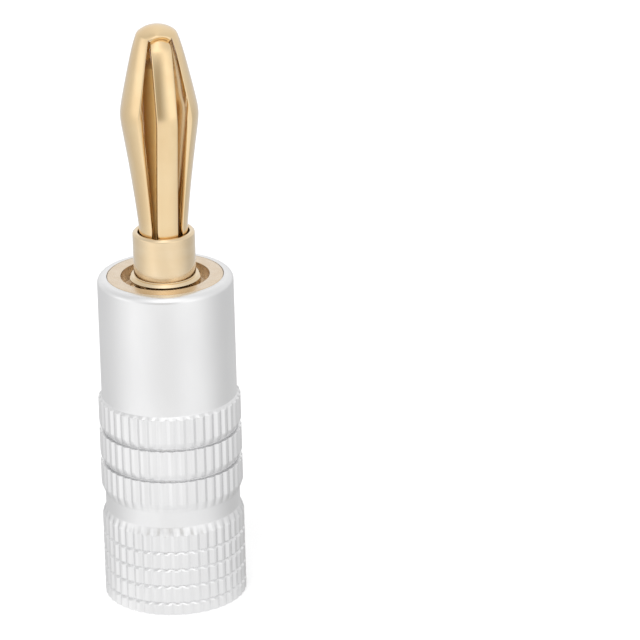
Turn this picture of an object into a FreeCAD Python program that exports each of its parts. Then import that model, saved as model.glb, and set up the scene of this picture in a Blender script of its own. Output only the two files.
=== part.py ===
import FreeCAD, Part
import math
import os

# Banana plug with a screwed spring pin, standing on the rear face of its barrel.
# All sizes are millimetres. The axis of the plug is Z, the rear face lies at height 0
# and the pin points up. The narrow spring leaves face -Y and +Y, the wide ones -X and +X.

# Barrel: one turned piece, knurled at the rear and in three bands
barrel_length = 24.9
plain_r = 4.97
knurl_r = 5.22
waist_r = 4.95
front_edge_round = 0.5
rear_edge_chamfer = 0.06
rear_knurl_top = 6.3
rear_knurl_bevel_height = 0.6
rear_row_pitch = 1.345
rear_row_count = 5
row_groove_half_width = 0.15
row_groove_depth = 0.2
waist_length = 1.2
low_band_bevel_height = 0.7
band_pitch = 2.45
band_count = 3
band_bevel_height = 0.62
band_bevel_drop = 0.2
band_groove_width = 0.12
band_groove_depth = 0.3
band_top_chamfer_height = 0.22
rib_count = 43
first_groove_deg = 3.3
rib_groove_depth = 0.16
rib_groove_top_width = 0.28
rib_groove_root_width = 0.12

# Way for the cable, from the rear of the barrel
cable_hole_r = 2.6
cable_hole_chamfer = 0.4

# Sleeve: turned ring and nut, pressed into the barrel from the front
wire_chamber_r = 2.8
sleeve_r = 4.25
sleeve_length = 16.9
sleeve_press_gap = 0.02
sleeve_edge_chamfer = 0.06
recess_wall = 1.01
recess_depth = 1.1
throat_r = 1.75
throat_length = 1.1
throat_cone_height = 0.7
seat_cone_height = 1.0

# Pin body: turned, threaded below and cupped above
stem_r = 2.61
stem_thread_length = 8.0
stem_stand = 0.1
thread_running_gap = 0.05
home_travel = 1.0
wire_clamp_gap = 0.2
collar_shoulder = 0.34
collar_length = 3.35
collar_bevel = 0.16
cup_wall = 0.4
cup_depth = 2.85
cup_lip_chamfer = 0.08
post_hole_depth = 5.0

# Centre post: round rod in the middle of the spring leaves
post_r = 1.15
post_running_gap = 0.02
post_tip_space = 2.73
post_tip_chamfer = 0.3

# Spring strips: two bent and crossed strips with four bulging leaves
strip_thickness = 0.38
leaf_cup_gap = 0.08
leaf_seat_gap = 0.02
leaf_straight_rise = 0.5
lower_leaf_height = 8.55
upper_leaf_height = 5.98
bulge_spread = 1.04
bulge_softness = 0.22
lower_leaf_lead = 0.72
shoulder_narrowing = 0.3
shoulder_curl = 0.152
shoulder_curl_length = 0.8
shoulder_lean_deg = 22.0
shoulder_round = 0.42
tip_rise = 0.65
narrow_leaf_half_width = 0.76
leaf_slot_width = 0.15
wide_leaf_bulge_deg = 45.2
window_side_gap = 0.04
tip_crossing_gap = 0.02
lip_reach = 1.36
narrow_crease_drop = 0.72
leaf_sections = 14

# Radii that follow from the pieces they fit
band_groove_r = knurl_r - band_groove_depth
socket_r = sleeve_r + sleeve_press_gap
recess_r = sleeve_r - recess_wall
thread_bore_r = stem_r + thread_running_gap
collar_r = stem_r - collar_shoulder
cup_r = collar_r - cup_wall
post_hole_r = post_r + post_running_gap
leaf_base_r = cup_r - leaf_cup_gap
bulge_r = leaf_base_r + bulge_spread
shoulder_r = leaf_base_r - shoulder_narrowing
wide_leaf_edge = narrow_leaf_half_width + leaf_slot_width

# Heights of the barrel, from the rear face up
band_bottom = rear_knurl_top + rear_knurl_bevel_height + waist_length
band_top = band_bottom + band_count * band_pitch
sleeve_seat_height = barrel_length - sleeve_length
recess_floor_height = barrel_length - recess_depth

# Heights of the pin, from the front face of the barrel up
stem_top_height = barrel_length + stem_stand
stem_bottom_height = stem_top_height - stem_thread_length
collar_top_height = stem_top_height + collar_length
cup_floor_height = collar_top_height - cup_depth
post_foot_height = cup_floor_height - post_hole_depth
leaf_foot_height = cup_floor_height + leaf_seat_gap
leaf_root_height = collar_top_height + leaf_straight_rise
bulge_height = leaf_root_height + lower_leaf_height
shoulder_height = bulge_height + upper_leaf_height
tip_height = shoulder_height + tip_rise
narrow_crease_height = shoulder_height - narrow_crease_drop
post_top_height = tip_height - post_tip_space

# Heights of the clamping cone, which the end of the stem meets when it is screwed home
stem_lift = home_travel + wire_clamp_gap
seat_top_height = stem_bottom_height - stem_lift
seat_bottom_height = seat_top_height - seat_cone_height
throat_bottom_height = seat_bottom_height - throat_length


def vec(radius, height):
    """Point of a lathe outline, at a radius from the axis and a height."""
    return FreeCAD.Vector(radius, 0, height)


def arc_edge(centre, radius, start_deg, end_deg):
    """Arc in the lathe plane, with angles from the radial direction towards +Z."""
    points = []
    for angle in (start_deg, (start_deg + end_deg) / 2, end_deg):
        turn = math.radians(angle)
        points.append(vec(centre[0] + radius * math.cos(turn), centre[1] + radius * math.sin(turn)))
    return Part.Arc(*points).toShape()


def turned(points):
    """Solid turned from a closed outline of (radius, height) points."""
    outline = [vec(radius, height) for radius, height in points]
    wire = Part.makePolygon(outline + [outline[0]])
    return Part.Face(wire).revolve(FreeCAD.Vector(0, 0, 0), FreeCAD.Vector(0, 0, 1), 360)


def band_outline(bottom, bevel_height):
    """Outline of one knurled band, from its lower bevel to its top edge."""
    return [
        (knurl_r - band_bevel_drop, bottom + band_groove_width),
        (knurl_r, bottom + bevel_height),
        (knurl_r, bottom + band_pitch),
    ]


def barrel_outline():
    """Outer outline of the barrel, from the rear face to the front face."""
    outline = [(knurl_r - rear_edge_chamfer, 0), (knurl_r, rear_edge_chamfer)]
    for row in range(rear_row_count - 1, 0, -1):
        middle = rear_knurl_top - row * rear_row_pitch
        outline.append((knurl_r, middle - row_groove_half_width))
        outline.append((knurl_r - row_groove_depth, middle))
        outline.append((knurl_r, middle + row_groove_half_width))
    outline.append((knurl_r, rear_knurl_top))
    outline.append((waist_r, rear_knurl_top + rear_knurl_bevel_height))
    outline.append((waist_r, band_bottom))
    outline.append((knurl_r, band_bottom + low_band_bevel_height))
    outline.append((knurl_r, band_bottom + band_pitch))
    for band in range(1, band_count):
        bottom = band_bottom + band * band_pitch
        outline.append((band_groove_r, bottom))
        outline.append((band_groove_r, bottom + band_groove_width))
        outline.extend(band_outline(bottom, band_bevel_height))
    outline.append((plain_r, band_top + band_top_chamfer_height))
    return outline


def rib_groove(angle_deg):
    """Cutter for one straight knurl groove, over the full knurled length."""
    root_r = knurl_r - rib_groove_depth
    overshoot = rib_groove_depth
    slope = (rib_groove_top_width - rib_groove_root_width) / 2 / rib_groove_depth
    outer_half = rib_groove_top_width / 2 + slope * overshoot
    root_half = rib_groove_root_width / 2
    corners = [
        FreeCAD.Vector(root_r, -root_half, -overshoot),
        FreeCAD.Vector(knurl_r + overshoot, -outer_half, -overshoot),
        FreeCAD.Vector(knurl_r + overshoot, outer_half, -overshoot),
        FreeCAD.Vector(root_r, root_half, -overshoot),
    ]
    face = Part.Face(Part.makePolygon(corners + [corners[0]]))
    length = band_top + band_top_chamfer_height + 2 * overshoot
    cutter = face.extrude(FreeCAD.Vector(0, 0, length))
    cutter.rotate(FreeCAD.Vector(0, 0, 0), FreeCAD.Vector(0, 0, 1), angle_deg)
    return cutter


def make_barrel():
    """Turned barrel with its knurl, cable hole and the socket for the sleeve."""
    outline = barrel_outline()
    edges = []
    corner = (plain_r - front_edge_round, barrel_length - front_edge_round)
    lower = [vec(radius, height) for radius, height in outline]
    lower.append(vec(plain_r, corner[1]))
    edges.extend(Part.makePolygon(lower).Edges)
    edges.append(arc_edge(corner, front_edge_round, 0, 90))
    inner = [
        vec(corner[0], barrel_length),
        vec(socket_r, barrel_length),
        vec(socket_r, sleeve_seat_height),
        vec(cable_hole_r, sleeve_seat_height),
        vec(cable_hole_r, cable_hole_chamfer),
        vec(cable_hole_r + cable_hole_chamfer, 0),
        lower[0],
    ]
    edges.extend(Part.makePolygon(inner).Edges)
    face = Part.Face(Part.Wire(edges))
    blank = face.revolve(FreeCAD.Vector(0, 0, 0), FreeCAD.Vector(0, 0, 1), 360)
    step_deg = 360.0 / rib_count
    cutters = [rib_groove(first_groove_deg + rib * step_deg) for rib in range(rib_count)]
    return blank.cut(Part.makeCompound(cutters))


def make_threaded_sleeve():
    """Sleeve with its front ring, recess, thread bore, clamping cone and cable way."""
    return turned([
        (wire_chamber_r, sleeve_seat_height),
        (sleeve_r, sleeve_seat_height),
        (sleeve_r, barrel_length - sleeve_edge_chamfer),
        (sleeve_r - sleeve_edge_chamfer, barrel_length),
        (recess_r, barrel_length),
        (recess_r, recess_floor_height),
        (thread_bore_r, recess_floor_height),
        (thread_bore_r, seat_top_height),
        (throat_r, seat_bottom_height),
        (throat_r, throat_bottom_height),
        (wire_chamber_r, throat_bottom_height - throat_cone_height),
    ])


def make_pin_body():
    """Threaded stem, shown at its crest size, with the collar and cup on top."""
    stem_tip_r = throat_r - thread_running_gap
    stem_tip_height = stem_bottom_height - seat_cone_height
    return turned([
        (0, stem_tip_height),
        (stem_tip_r, stem_tip_height),
        (stem_r, stem_bottom_height),
        (stem_r, stem_top_height),
        (collar_r, stem_top_height),
        (collar_r, collar_top_height - collar_bevel),
        (collar_r - collar_bevel, collar_top_height),
        (cup_r + cup_lip_chamfer, collar_top_height),
        (cup_r, collar_top_height - cup_lip_chamfer),
        (cup_r, cup_floor_height),
        (post_hole_r, cup_floor_height),
        (post_hole_r, post_foot_height),
        (0, post_foot_height),
    ])


def make_centre_post():
    """Round rod that stands in the pin body and reaches up inside the leaves."""
    foot = post_foot_height + post_running_gap
    return turned([
        (0, foot),
        (post_r, foot),
        (post_r, post_top_height - post_tip_chamfer),
        (post_r - post_tip_chamfer, post_top_height),
        (0, post_top_height),
    ])


def leaf_radius(height, curl_height):
    """Outer radius of a leaf along its middle, at a height; it curls in at curl_height."""
    peak_r = bulge_r + bulge_softness / 2
    shoulder_line_r = shoulder_r + shoulder_curl
    slope = (peak_r - shoulder_line_r) / (shoulder_height - bulge_height)
    curl = shoulder_curl * math.exp((height - curl_height) / shoulder_curl_length)
    upper = shoulder_line_r + slope * (shoulder_height - height) - curl
    share = max(0, (height - leaf_root_height) / (bulge_height - leaf_root_height))
    rise = lower_leaf_lead * share + (1 - lower_leaf_lead) * share ** 2
    lower = leaf_base_r + (peak_r - leaf_base_r) * rise
    blended = (lower + upper - math.hypot(lower - upper, bulge_softness)) / 2
    return blended


def wide_edge_angles(outer_r, inner_r, height):
    """Half angles of a wide leaf's two arcs at a height.

    At the cup and the bulge its edges point at the axis; at the shoulder they lie flat
    beside the window.
    """
    bulge_angle = math.radians(wide_leaf_bulge_deg)
    if height < bulge_height:
        root_angle = math.acos(wide_leaf_edge / (leaf_base_r - strip_thickness))
        share = (bulge_height - height) / (bulge_height - leaf_root_height)
        ends = (root_angle, root_angle)
    else:
        window_edge = narrow_leaf_half_width + 2 * window_side_gap
        share = (height - bulge_height) / (shoulder_height - bulge_height)
        ends = [math.acos(window_edge / r) for r in (shoulder_r, shoulder_r - strip_thickness)]
    return [bulge_angle + share * (end - bulge_angle) for end in ends]


def narrow_edge_angles(outer_r, inner_r, height):
    """Half angles of a narrow leaf's two arcs at a height, so that its sides are parallel."""
    return math.asin(narrow_leaf_half_width / outer_r), math.asin(narrow_leaf_half_width / inner_r)


def leaf_section(radius, height, edge_angles):
    """Closed section of a leaf that bows towards +X, at a height."""
    inner_r = radius - strip_thickness
    outer_half, inner_half = edge_angles(radius, inner_r, height)

    def on_circle(circle_r, angle):
        return FreeCAD.Vector(circle_r * math.cos(angle), circle_r * math.sin(angle), height)

    def across(circle_r, half):
        return Part.Arc(on_circle(circle_r, -half), on_circle(circle_r, 0), on_circle(circle_r, half))

    outer = across(radius, outer_half).toShape()
    inner = across(inner_r, inner_half).toShape()
    sides = [
        Part.makeLine(on_circle(radius, turn * outer_half), on_circle(inner_r, turn * inner_half))
        for turn in (1, -1)
    ]
    return Part.Wire([outer, sides[0], inner, sides[1]])


def leaf(top_height, curl_height, edge_angles):
    """One leaf that bows towards +X, from its foot in the cup to a height."""
    sections = []
    for step in range(leaf_sections + 1):
        height = leaf_root_height + (top_height - leaf_root_height) * step / leaf_sections
        sections.append(leaf_section(leaf_radius(height, curl_height), height, edge_angles))
    bowed = Part.makeLoft(sections, True, False)
    foot = Part.Face(sections[0]).extrude(FreeCAD.Vector(0, 0, leaf_foot_height - leaf_root_height))
    return bowed.fuse(foot)


def both_ways(shape):
    """The shape and its copy turned half a turn about the axis."""
    other = shape.copy()
    other.rotate(FreeCAD.Vector(0, 0, 0), FreeCAD.Vector(0, 0, 1), 180)
    return [shape, other]


def tip_arc_sizes():
    """Centre height and radius of the arc over the tip, tangent to the shoulder arc."""
    lean = math.radians(shoulder_lean_deg)
    centre_r = shoulder_r - shoulder_round * math.cos(lean)
    centre_z = shoulder_height - shoulder_round * math.sin(lean)
    drop = tip_height - centre_z
    tip_r = (centre_r ** 2 + drop ** 2 - shoulder_round ** 2) / (2 * (drop - shoulder_round))
    return centre_r, centre_z, tip_height - tip_r, tip_r


def make_wide_strip():
    """Outer strip: two wide leaves joined over the tip, with a window for each narrow leaf."""
    leaves = both_ways(leaf(shoulder_height, shoulder_height, wide_edge_angles))
    centre_r, centre_z, tip_centre_z, tip_r = tip_arc_sizes()
    join_deg = math.degrees(math.atan2(centre_z - tip_centre_z, centre_r))
    outer_start = arc_edge((centre_r, centre_z), shoulder_round, shoulder_lean_deg, join_deg)
    outer_tip = arc_edge((0, tip_centre_z), tip_r, join_deg, 90)
    inner_round = shoulder_round - strip_thickness
    inner_tip = arc_edge((0, tip_centre_z), tip_r - strip_thickness, 90, join_deg)
    inner_start = arc_edge((centre_r, centre_z), inner_round, join_deg, shoulder_lean_deg)
    foot = vec(shoulder_r - strip_thickness, shoulder_height)
    top_line = Part.makeLine(outer_tip.Vertexes[1].Point, inner_tip.Vertexes[0].Point)
    side_line = Part.makeLine(inner_start.Vertexes[1].Point, foot)
    foot_line = Part.makeLine(foot, vec(shoulder_r, shoulder_height))
    outline = [outer_start, outer_tip, top_line, inner_tip, inner_start, side_line, foot_line]
    face = Part.Face(Part.Wire(outline))
    cap = face.revolve(FreeCAD.Vector(0, 0, 0), FreeCAD.Vector(0, 0, 1), 360)
    strip = leaves[0].fuse([leaves[1], cap])
    for window in both_ways(tip_window(tip_centre_z, tip_r)):
        strip = strip.cut(window)
    return strip.removeSplitter()


def tip_window(tip_centre_z, tip_r):
    """Cutter for the window under the lip of the wide strip, on the -Y side."""
    lean = math.asin(lip_reach / tip_r)
    lip_z = tip_centre_z + tip_r * math.cos(lean)
    reach = 2 * strip_thickness
    out_r = lip_reach + reach * math.sin(lean)
    out_z = lip_z + reach * math.cos(lean)
    in_r = lip_reach - reach * math.sin(lean)
    in_z = lip_z - reach * math.cos(lean)
    half = narrow_leaf_half_width + window_side_gap
    corners = [
        (in_r, in_z),
        (in_r, bulge_height),
        (bulge_r + reach, bulge_height),
        (bulge_r + reach, out_z),
        (out_r, out_z),
    ]
    points = [FreeCAD.Vector(-half, -y, z) for y, z in corners]
    face = Part.Face(Part.makePolygon(points + [points[0]]))
    return face.extrude(FreeCAD.Vector(2 * half, 0, 0))


def make_narrow_strip():
    """Inner strip: two narrow leaves joined under the tip of the wide strip."""
    leaves = both_ways(leaf(narrow_crease_height, narrow_crease_height, narrow_edge_angles))
    centre_r, centre_z, tip_centre_z, tip_r = tip_arc_sizes()
    outer_r = tip_r - strip_thickness - tip_crossing_gap
    inner_r = outer_r - strip_thickness
    lean = math.asin(lip_reach / tip_r)
    join_deg = 90 - math.degrees(lean)
    crease_r = leaf_radius(narrow_crease_height, narrow_crease_height)
    crease = vec(crease_r, narrow_crease_height)
    inner_crease = vec(crease_r - strip_thickness, narrow_crease_height)
    outer_arc = arc_edge((0, tip_centre_z), outer_r, 90, join_deg)
    inner_arc = arc_edge((0, tip_centre_z), inner_r, join_deg, 90)
    outline = [
        outer_arc,
        Part.makeLine(outer_arc.Vertexes[1].Point, crease),
        Part.makeLine(crease, inner_crease),
        Part.makeLine(inner_crease, inner_arc.Vertexes[0].Point),
        inner_arc,
        Part.makeLine(inner_arc.Vertexes[1].Point, outer_arc.Vertexes[0].Point),
    ]
    face = Part.Face(Part.Wire(outline))
    cap = face.revolve(FreeCAD.Vector(0, 0, 0), FreeCAD.Vector(0, 0, 1), 360)
    reach = 2 * bulge_r
    half = narrow_leaf_half_width
    slab = Part.makeBox(reach, 2 * half, tip_height, FreeCAD.Vector(-reach / 2, -half, 0))
    strip = leaves[0].fuse([leaves[1], cap.common(slab)]).removeSplitter()
    strip.rotate(FreeCAD.Vector(0, 0, 0), FreeCAD.Vector(0, 0, 1), 90)
    return strip


def export(name, shape):
    """Write one piece and say its size, so that a broken solid shows."""
    shape = shape.Solids[0] if len(shape.Solids) == 1 else shape
    print(name, shape.ShapeType, "valid" if shape.isValid() else "INVALID",
          round(shape.Volume, 3), "mm3", len(shape.Solids), "solid")
    shape.exportStep(os.path.join("parts", name + ".step"))


def main():
    """Build every piece and write it."""
    os.makedirs("parts", exist_ok=True)
    export("barrel", make_barrel())
    export("threaded_sleeve", make_threaded_sleeve())
    export("pin_body", make_pin_body())
    export("centre_post", make_centre_post())
    export("wide_spring_strip", make_wide_strip())
    export("narrow_spring_strip", make_narrow_strip())


main()
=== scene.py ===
import enum
import logging
import math
from dataclasses import dataclass, field
from typing import Callable, Iterable, Sequence

import bmesh
import bpy
import numpy as np
from bpy.types import Material, Mesh, Node, NodeSocket, NodeTree, Object
from mathutils import Matrix, Vector


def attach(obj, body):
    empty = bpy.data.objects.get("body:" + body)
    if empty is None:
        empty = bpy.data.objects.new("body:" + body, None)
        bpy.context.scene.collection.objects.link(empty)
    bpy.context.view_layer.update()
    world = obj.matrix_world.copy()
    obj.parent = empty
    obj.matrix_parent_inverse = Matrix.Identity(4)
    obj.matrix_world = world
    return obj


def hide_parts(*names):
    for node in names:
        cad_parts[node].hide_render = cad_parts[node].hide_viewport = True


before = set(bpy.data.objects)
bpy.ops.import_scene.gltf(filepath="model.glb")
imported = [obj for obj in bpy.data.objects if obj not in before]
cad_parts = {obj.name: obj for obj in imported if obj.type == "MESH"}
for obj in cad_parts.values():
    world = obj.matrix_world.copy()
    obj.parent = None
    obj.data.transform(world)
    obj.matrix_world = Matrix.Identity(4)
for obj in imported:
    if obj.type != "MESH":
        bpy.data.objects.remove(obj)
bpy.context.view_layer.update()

# The banana plug stands on the rear face of its barrel, axis up. The shapes are given in
# millimetres and written in metres; the finishes, the camera and the lamps are in metres.
# The camera looks from the -Y side.

LOG = logging.getLogger("banana_plug")
MM = 0.001
TURN = 2 * math.pi
MERGE_DISTANCE = 2e-7
CREASE_DEG = 35.0
STRIP_CREASE_DEG = 50.0
WHITE = (1.0, 1.0, 1.0)
Colour = tuple[float, float, float]
Pairs = tuple[tuple[float, float], ...]
Profile = list[tuple[float, float]]


class Body(str, enum.Enum):
    """The moving bodies of the plug."""

    BARREL = "barrel"
    POST = "post"
    PIN = "pin"


class Slot(str, enum.Enum):
    """The material slots of the record."""

    SILVER = "satin_silver"
    GOLD = "gold_plate"


# ---------------------------------------------------------------- mesh helpers


def smooth_step(value: np.ndarray | float, low: float, high: float) -> np.ndarray:
    """Smooth rise of each value from 0 at low to 1 at high."""
    share = np.clip((np.asarray(value, float) - low) / (high - low), 0, 1)
    return share * share * (3 - 2 * share)


def around(radius: np.ndarray | float, turn: np.ndarray, height: np.ndarray | float) -> np.ndarray:
    """Points at a radius, a turn and a height about the axis."""
    radius, turn, height = np.broadcast_arrays(radius, turn, height)
    return np.stack([radius * np.cos(turn), radius * np.sin(turn), height], 1)


def rounded(points: Profile, radius: float, steps: int = 4) -> Profile:
    """Round the inner corners of an open outline.

    Args:
        points: Outline of (radius, height) points.
        radius: Size of the rounding, limited by the runs beside each corner.
        steps: Number of runs in each rounding.

    Returns:
        The outline with each corner as a short curve.
    """
    longest = 0.45
    out = [points[0]]
    for before, corner, after in zip(points, points[1:], points[2:]):
        b, c, a = (np.array(p, float) for p in (before, corner, after))
        run_in, run_out = np.linalg.norm(b - c), np.linalg.norm(a - c)
        reach = min(radius, longest * run_in, longest * run_out)
        start, end = c + (b - c) / run_in * reach, c + (a - c) / run_out * reach
        for t in np.linspace(0, 1, steps + 1):
            point = (1 - t) ** 2 * start + 2 * t * (1 - t) * c + t**2 * end
            out.append((float(point[0]), float(point[1])))
    return out + [points[-1]]


def grid_faces(rows: int, columns: int, wrap_rows: bool, wrap_columns: bool) -> list[tuple[int, ...]]:
    """Quads of a grid whose points are stored row by row.

    Args:
        rows: Number of rows.
        columns: Number of points in a row.
        wrap_rows: Whether the last row joins the first.
        wrap_columns: Whether the last column joins the first.

    Returns:
        The faces as point numbers.
    """
    faces = []
    for row in range(rows if wrap_rows else rows - 1):
        low, high = row * columns, (row + 1) % rows * columns
        for column in range(columns if wrap_columns else columns - 1):
            right = (column + 1) % columns
            faces.append((low + column, low + right, high + right, high + column))
    return faces


def new_mesh(name: str, points: Iterable, faces: Iterable[tuple[int, ...]]) -> Mesh:
    """Make a mesh.

    Args:
        name: Name of the mesh.
        points: Points in millimetres.
        faces: Faces as point numbers.

    Returns:
        The mesh, in metres.
    """
    mesh = bpy.data.meshes.new(name)
    mesh.from_pydata((np.asarray(points, float) * MM).tolist(), [], list(faces))
    return mesh


def place_object(name: str, data: bpy.types.ID) -> Object:
    """Make an object and link it to the scene.

    Args:
        name: Name of the object.
        data: Mesh, camera or light that it shows.

    Returns:
        The object, at the origin.
    """
    made = bpy.data.objects.new(name, data)
    bpy.context.scene.collection.objects.link(made)
    return made


def clean(mesh: Mesh, crease_deg: float = CREASE_DEG) -> Mesh:
    """Merge doubles, turn faces outwards and shade a mesh smooth.

    Args:
        mesh: Mesh to clean.
        crease_deg: Angle above which an edge stays sharp.

    Returns:
        The same mesh.
    """
    work = bmesh.new()
    work.from_mesh(mesh)
    bmesh.ops.remove_doubles(work, verts=work.verts, dist=MERGE_DISTANCE)
    bmesh.ops.dissolve_degenerate(work, edges=work.edges, dist=MERGE_DISTANCE)
    bmesh.ops.recalc_face_normals(work, faces=work.faces)
    work.to_mesh(mesh)
    work.free()
    mesh.shade_smooth()
    mesh.set_sharp_from_angle(angle=math.radians(crease_deg))
    return mesh


def settle(piece: Object, body: Body, node: str, material: Material) -> Object:
    """Dress a finished piece and tie it to the frame.

    Args:
        piece: The finished piece.
        body: Body that carries it.
        node: CAD node that it stands for.
        material: Finish to put on it.

    Returns:
        The same piece.
    """
    piece.data.materials.clear()
    piece.data.materials.append(material)
    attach(piece, body.value)
    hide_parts(node)
    LOG.info("%s: %d faces, rides on %s", piece.name, len(piece.data.polygons), body.value)
    return piece


# ---------------------------------------------------------------- node helpers


class Nodes:
    """A node tree under construction, with short ways to add nodes and links."""

    mix_sockets = {"FLOAT": (2, 3, 0), "RGBA": (6, 7, 2)}

    def __init__(self, tree: NodeTree) -> None:
        """Work on a tree."""
        self.tree = tree

    def node(self, kind: str, inputs: dict[str | int, object], **settings: object) -> Node:
        """Add a node.

        Args:
            kind: Blender's name of the node.
            inputs: What feeds its inputs, by name or number: a socket, a number or a colour.
            settings: Its properties.

        Returns:
            The node.
        """
        made = self.tree.nodes.new(kind)
        for label, value in settings.items():
            setattr(made, label, value)
        for label, value in inputs.items():
            if isinstance(value, NodeSocket):
                self.tree.links.new(value, made.inputs[label])
            else:
                made.inputs[label].default_value = (*value, 1.0) if isinstance(value, tuple) else value
        return made

    def add(self, kind: str, inputs: dict, output: str | int = 0, **settings: object) -> NodeSocket:
        """Add a node, as node does, and give one of its outputs."""
        return self.node(kind, inputs, **settings).outputs[output]

    def maths(self, operation: str, *values: object) -> NodeSocket:
        """Result of a maths node on sockets or numbers."""
        return self.add("ShaderNodeMath", dict(enumerate(values)), operation=operation)

    def rise(self, value: NodeSocket, low: object, high: object, start: float = 0.0) -> NodeSocket:
        """Smooth rise of a value from start at low to 1 at high."""
        ends = {"Value": value, "From Min": low, "From Max": high, "To Min": start}
        return self.add("ShaderNodeMapRange", ends, interpolation_type="SMOOTHSTEP")

    def mix(self, share: NodeSocket, first: object, second: object, kind: str = "RGBA") -> NodeSocket:
        """Mix two colours, or two values, by a mask.

        Args:
            share: Mask, 0 for the first and 1 for the second.
            first: Colour, value or socket.
            second: Colour, value or socket.
            kind: RGBA for colours, FLOAT for values.

        Returns:
            The mixture's socket.
        """
        one, other, output = self.mix_sockets[kind]
        ends = {"Factor": share, one: first, other: second}
        return self.add("ShaderNodeMix", ends, output, data_type=kind)

    def rays(self, kind: str) -> NodeSocket:
        """Mask of the Camera or the Glossy rays."""
        return self.add("ShaderNodeLightPath", {}, f"Is {kind} Ray")


class ShaderGroup(Nodes):
    """A shader node group whose inputs and outputs are values."""

    def __init__(self, name: str, inputs: dict[str, float], outputs: Sequence[str]) -> None:
        """Start a group.

        Args:
            name: Name of the group.
            inputs: Value inputs with their first values.
            outputs: Names of the value outputs.
        """
        super().__init__(bpy.data.node_groups.new(name, "ShaderNodeTree"))
        for label, value in inputs.items():
            socket = self.tree.interface.new_socket(label, in_out="INPUT", socket_type="NodeSocketFloat")
            socket.default_value = value
        for label in outputs:
            self.tree.interface.new_socket(label, in_out="OUTPUT", socket_type="NodeSocketFloat")
        self.source = self.tree.nodes.new("NodeGroupInput").outputs
        self.sink = self.tree.nodes.new("NodeGroupOutput").inputs
        self.place = self.add("ShaderNodeTexCoord", {}, "Object")

    def scaled_place(self, across: object, along: object) -> NodeSocket:
        """Place on the piece, in other units across the axis and along it.

        Args:
            across: Factor on X and Y, a socket or a number.
            along: Factor on Z, a socket or a number.

        Returns:
            The scaled place's socket.
        """
        parts = self.node("ShaderNodeSeparateXYZ", {0: self.place}).outputs
        factors = enumerate((across, across, along))
        scaled = {axis: self.maths("MULTIPLY", parts[axis], factor) for axis, factor in factors}
        return self.add("ShaderNodeCombineXYZ", scaled)

    def noise(self, place: NodeSocket, detail: float, roughness: float) -> NodeSocket:
        """Value of a noise texture at a place."""
        inputs = {"Vector": place, "Scale": 1.0, "Detail": detail, "Roughness": roughness}
        return self.add("ShaderNodeTexNoise", inputs, "Fac")

    def give(self, **results: NodeSocket) -> NodeTree:
        """Link the results to the outputs.

        Args:
            results: Socket for each output.

        Returns:
            The finished group.
        """
        for label, socket in results.items():
            self.tree.links.new(socket, self.sink[label])
        return self.tree


def turning_marks() -> NodeTree:
    """Fine rings left by the lathe tool, as a height and a tone.

    Returns:
        Group with inputs Lines and Waver and outputs Height and Tone.
    """
    coarser, coarse_share, fine_share = 0.21, 0.6, 0.4
    group = ShaderGroup("turning_marks", {"Lines": 9000.0, "Waver": 60.0}, ["Height", "Tone"])
    lines, waver = group.source["Lines"], group.source["Waver"]
    fine = group.noise(group.scaled_place(waver, lines), detail=2.0, roughness=0.6)
    place = group.scaled_place(waver, group.maths("MULTIPLY", lines, coarser))
    coarse = group.noise(place, detail=1.0, roughness=0.5)
    height = group.maths("MULTIPLY_ADD", coarse, coarse_share, group.maths("MULTIPLY", fine, fine_share))
    return group.give(Height=height, Tone=group.rise(coarse, low=0.35, high=0.65))


def tone_drift() -> NodeTree:
    """Slow, cloudy change of tone over a plated surface.

    Returns:
        Group with inputs Size and Stretch and output Tone.
    """
    group = ShaderGroup("tone_drift", {"Size": 0.003, "Stretch": 1.0}, ["Tone"])
    across = group.maths("DIVIDE", 1.0, group.source["Size"])
    along = group.maths("DIVIDE", across, group.source["Stretch"])
    cloud = group.noise(group.scaled_place(across, along), detail=3.0, roughness=0.55)
    return group.give(Tone=group.rise(cloud, low=0.3, high=0.7))


def blast_grain() -> NodeTree:
    """Even, fine grain of a blasted surface under its plating.

    Returns:
        Group with input Size and output Height.
    """
    group = ShaderGroup("blast_grain", {"Size": 0.00012}, ["Height"])
    scale = group.maths("DIVIDE", 1.0, group.source["Size"])
    return group.give(Height=group.noise(group.scaled_place(scale, scale), detail=2.0, roughness=0.6))


def plating_specks() -> NodeTree:
    """Sparse, tiny dark specks in the plating, as a mask.

    Returns:
        Group with inputs Spacing, Reach and Share and output Mask.
    """
    core = 0.5
    group = ShaderGroup("plating_specks", {"Spacing": 0.0009, "Reach": 0.07, "Share": 0.3}, ["Mask"])
    scale, reach = group.maths("DIVIDE", 1.0, group.source["Spacing"]), group.source["Reach"]
    cells = group.node("ShaderNodeTexVoronoi", {"Vector": group.scaled_place(scale, scale), "Scale": 1.0}).outputs
    outside = group.rise(cells["Distance"], group.maths("MULTIPLY", reach, core), reach)
    red = group.add("ShaderNodeSeparateColor", {0: cells["Color"]})
    chosen = group.maths("LESS_THAN", red, group.source["Share"])
    return group.give(Mask=group.maths("MULTIPLY", group.maths("SUBTRACT", 1.0, outside), chosen))


def axis_distance() -> NodeTree:
    """How deep a point lies inside a turned piece, as a mask; the barrel's painted groove shade uses it.

    Returns:
        Group with inputs Inside and Outside, in metres from the axis, and output Depth,
        which is 1 at Inside and nearer the axis, and 0 at Outside and further out.
    """
    group = ShaderGroup("axis_distance", {"Inside": 0.005, "Outside": 0.0052}, ["Depth"])
    length = group.add("ShaderNodeVectorMath", {0: group.scaled_place(1.0, 0.0)}, "Value", operation="LENGTH")
    far = group.rise(length, group.source["Inside"], group.source["Outside"])
    return group.give(Depth=group.maths("SUBTRACT", 1.0, far))


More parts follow.
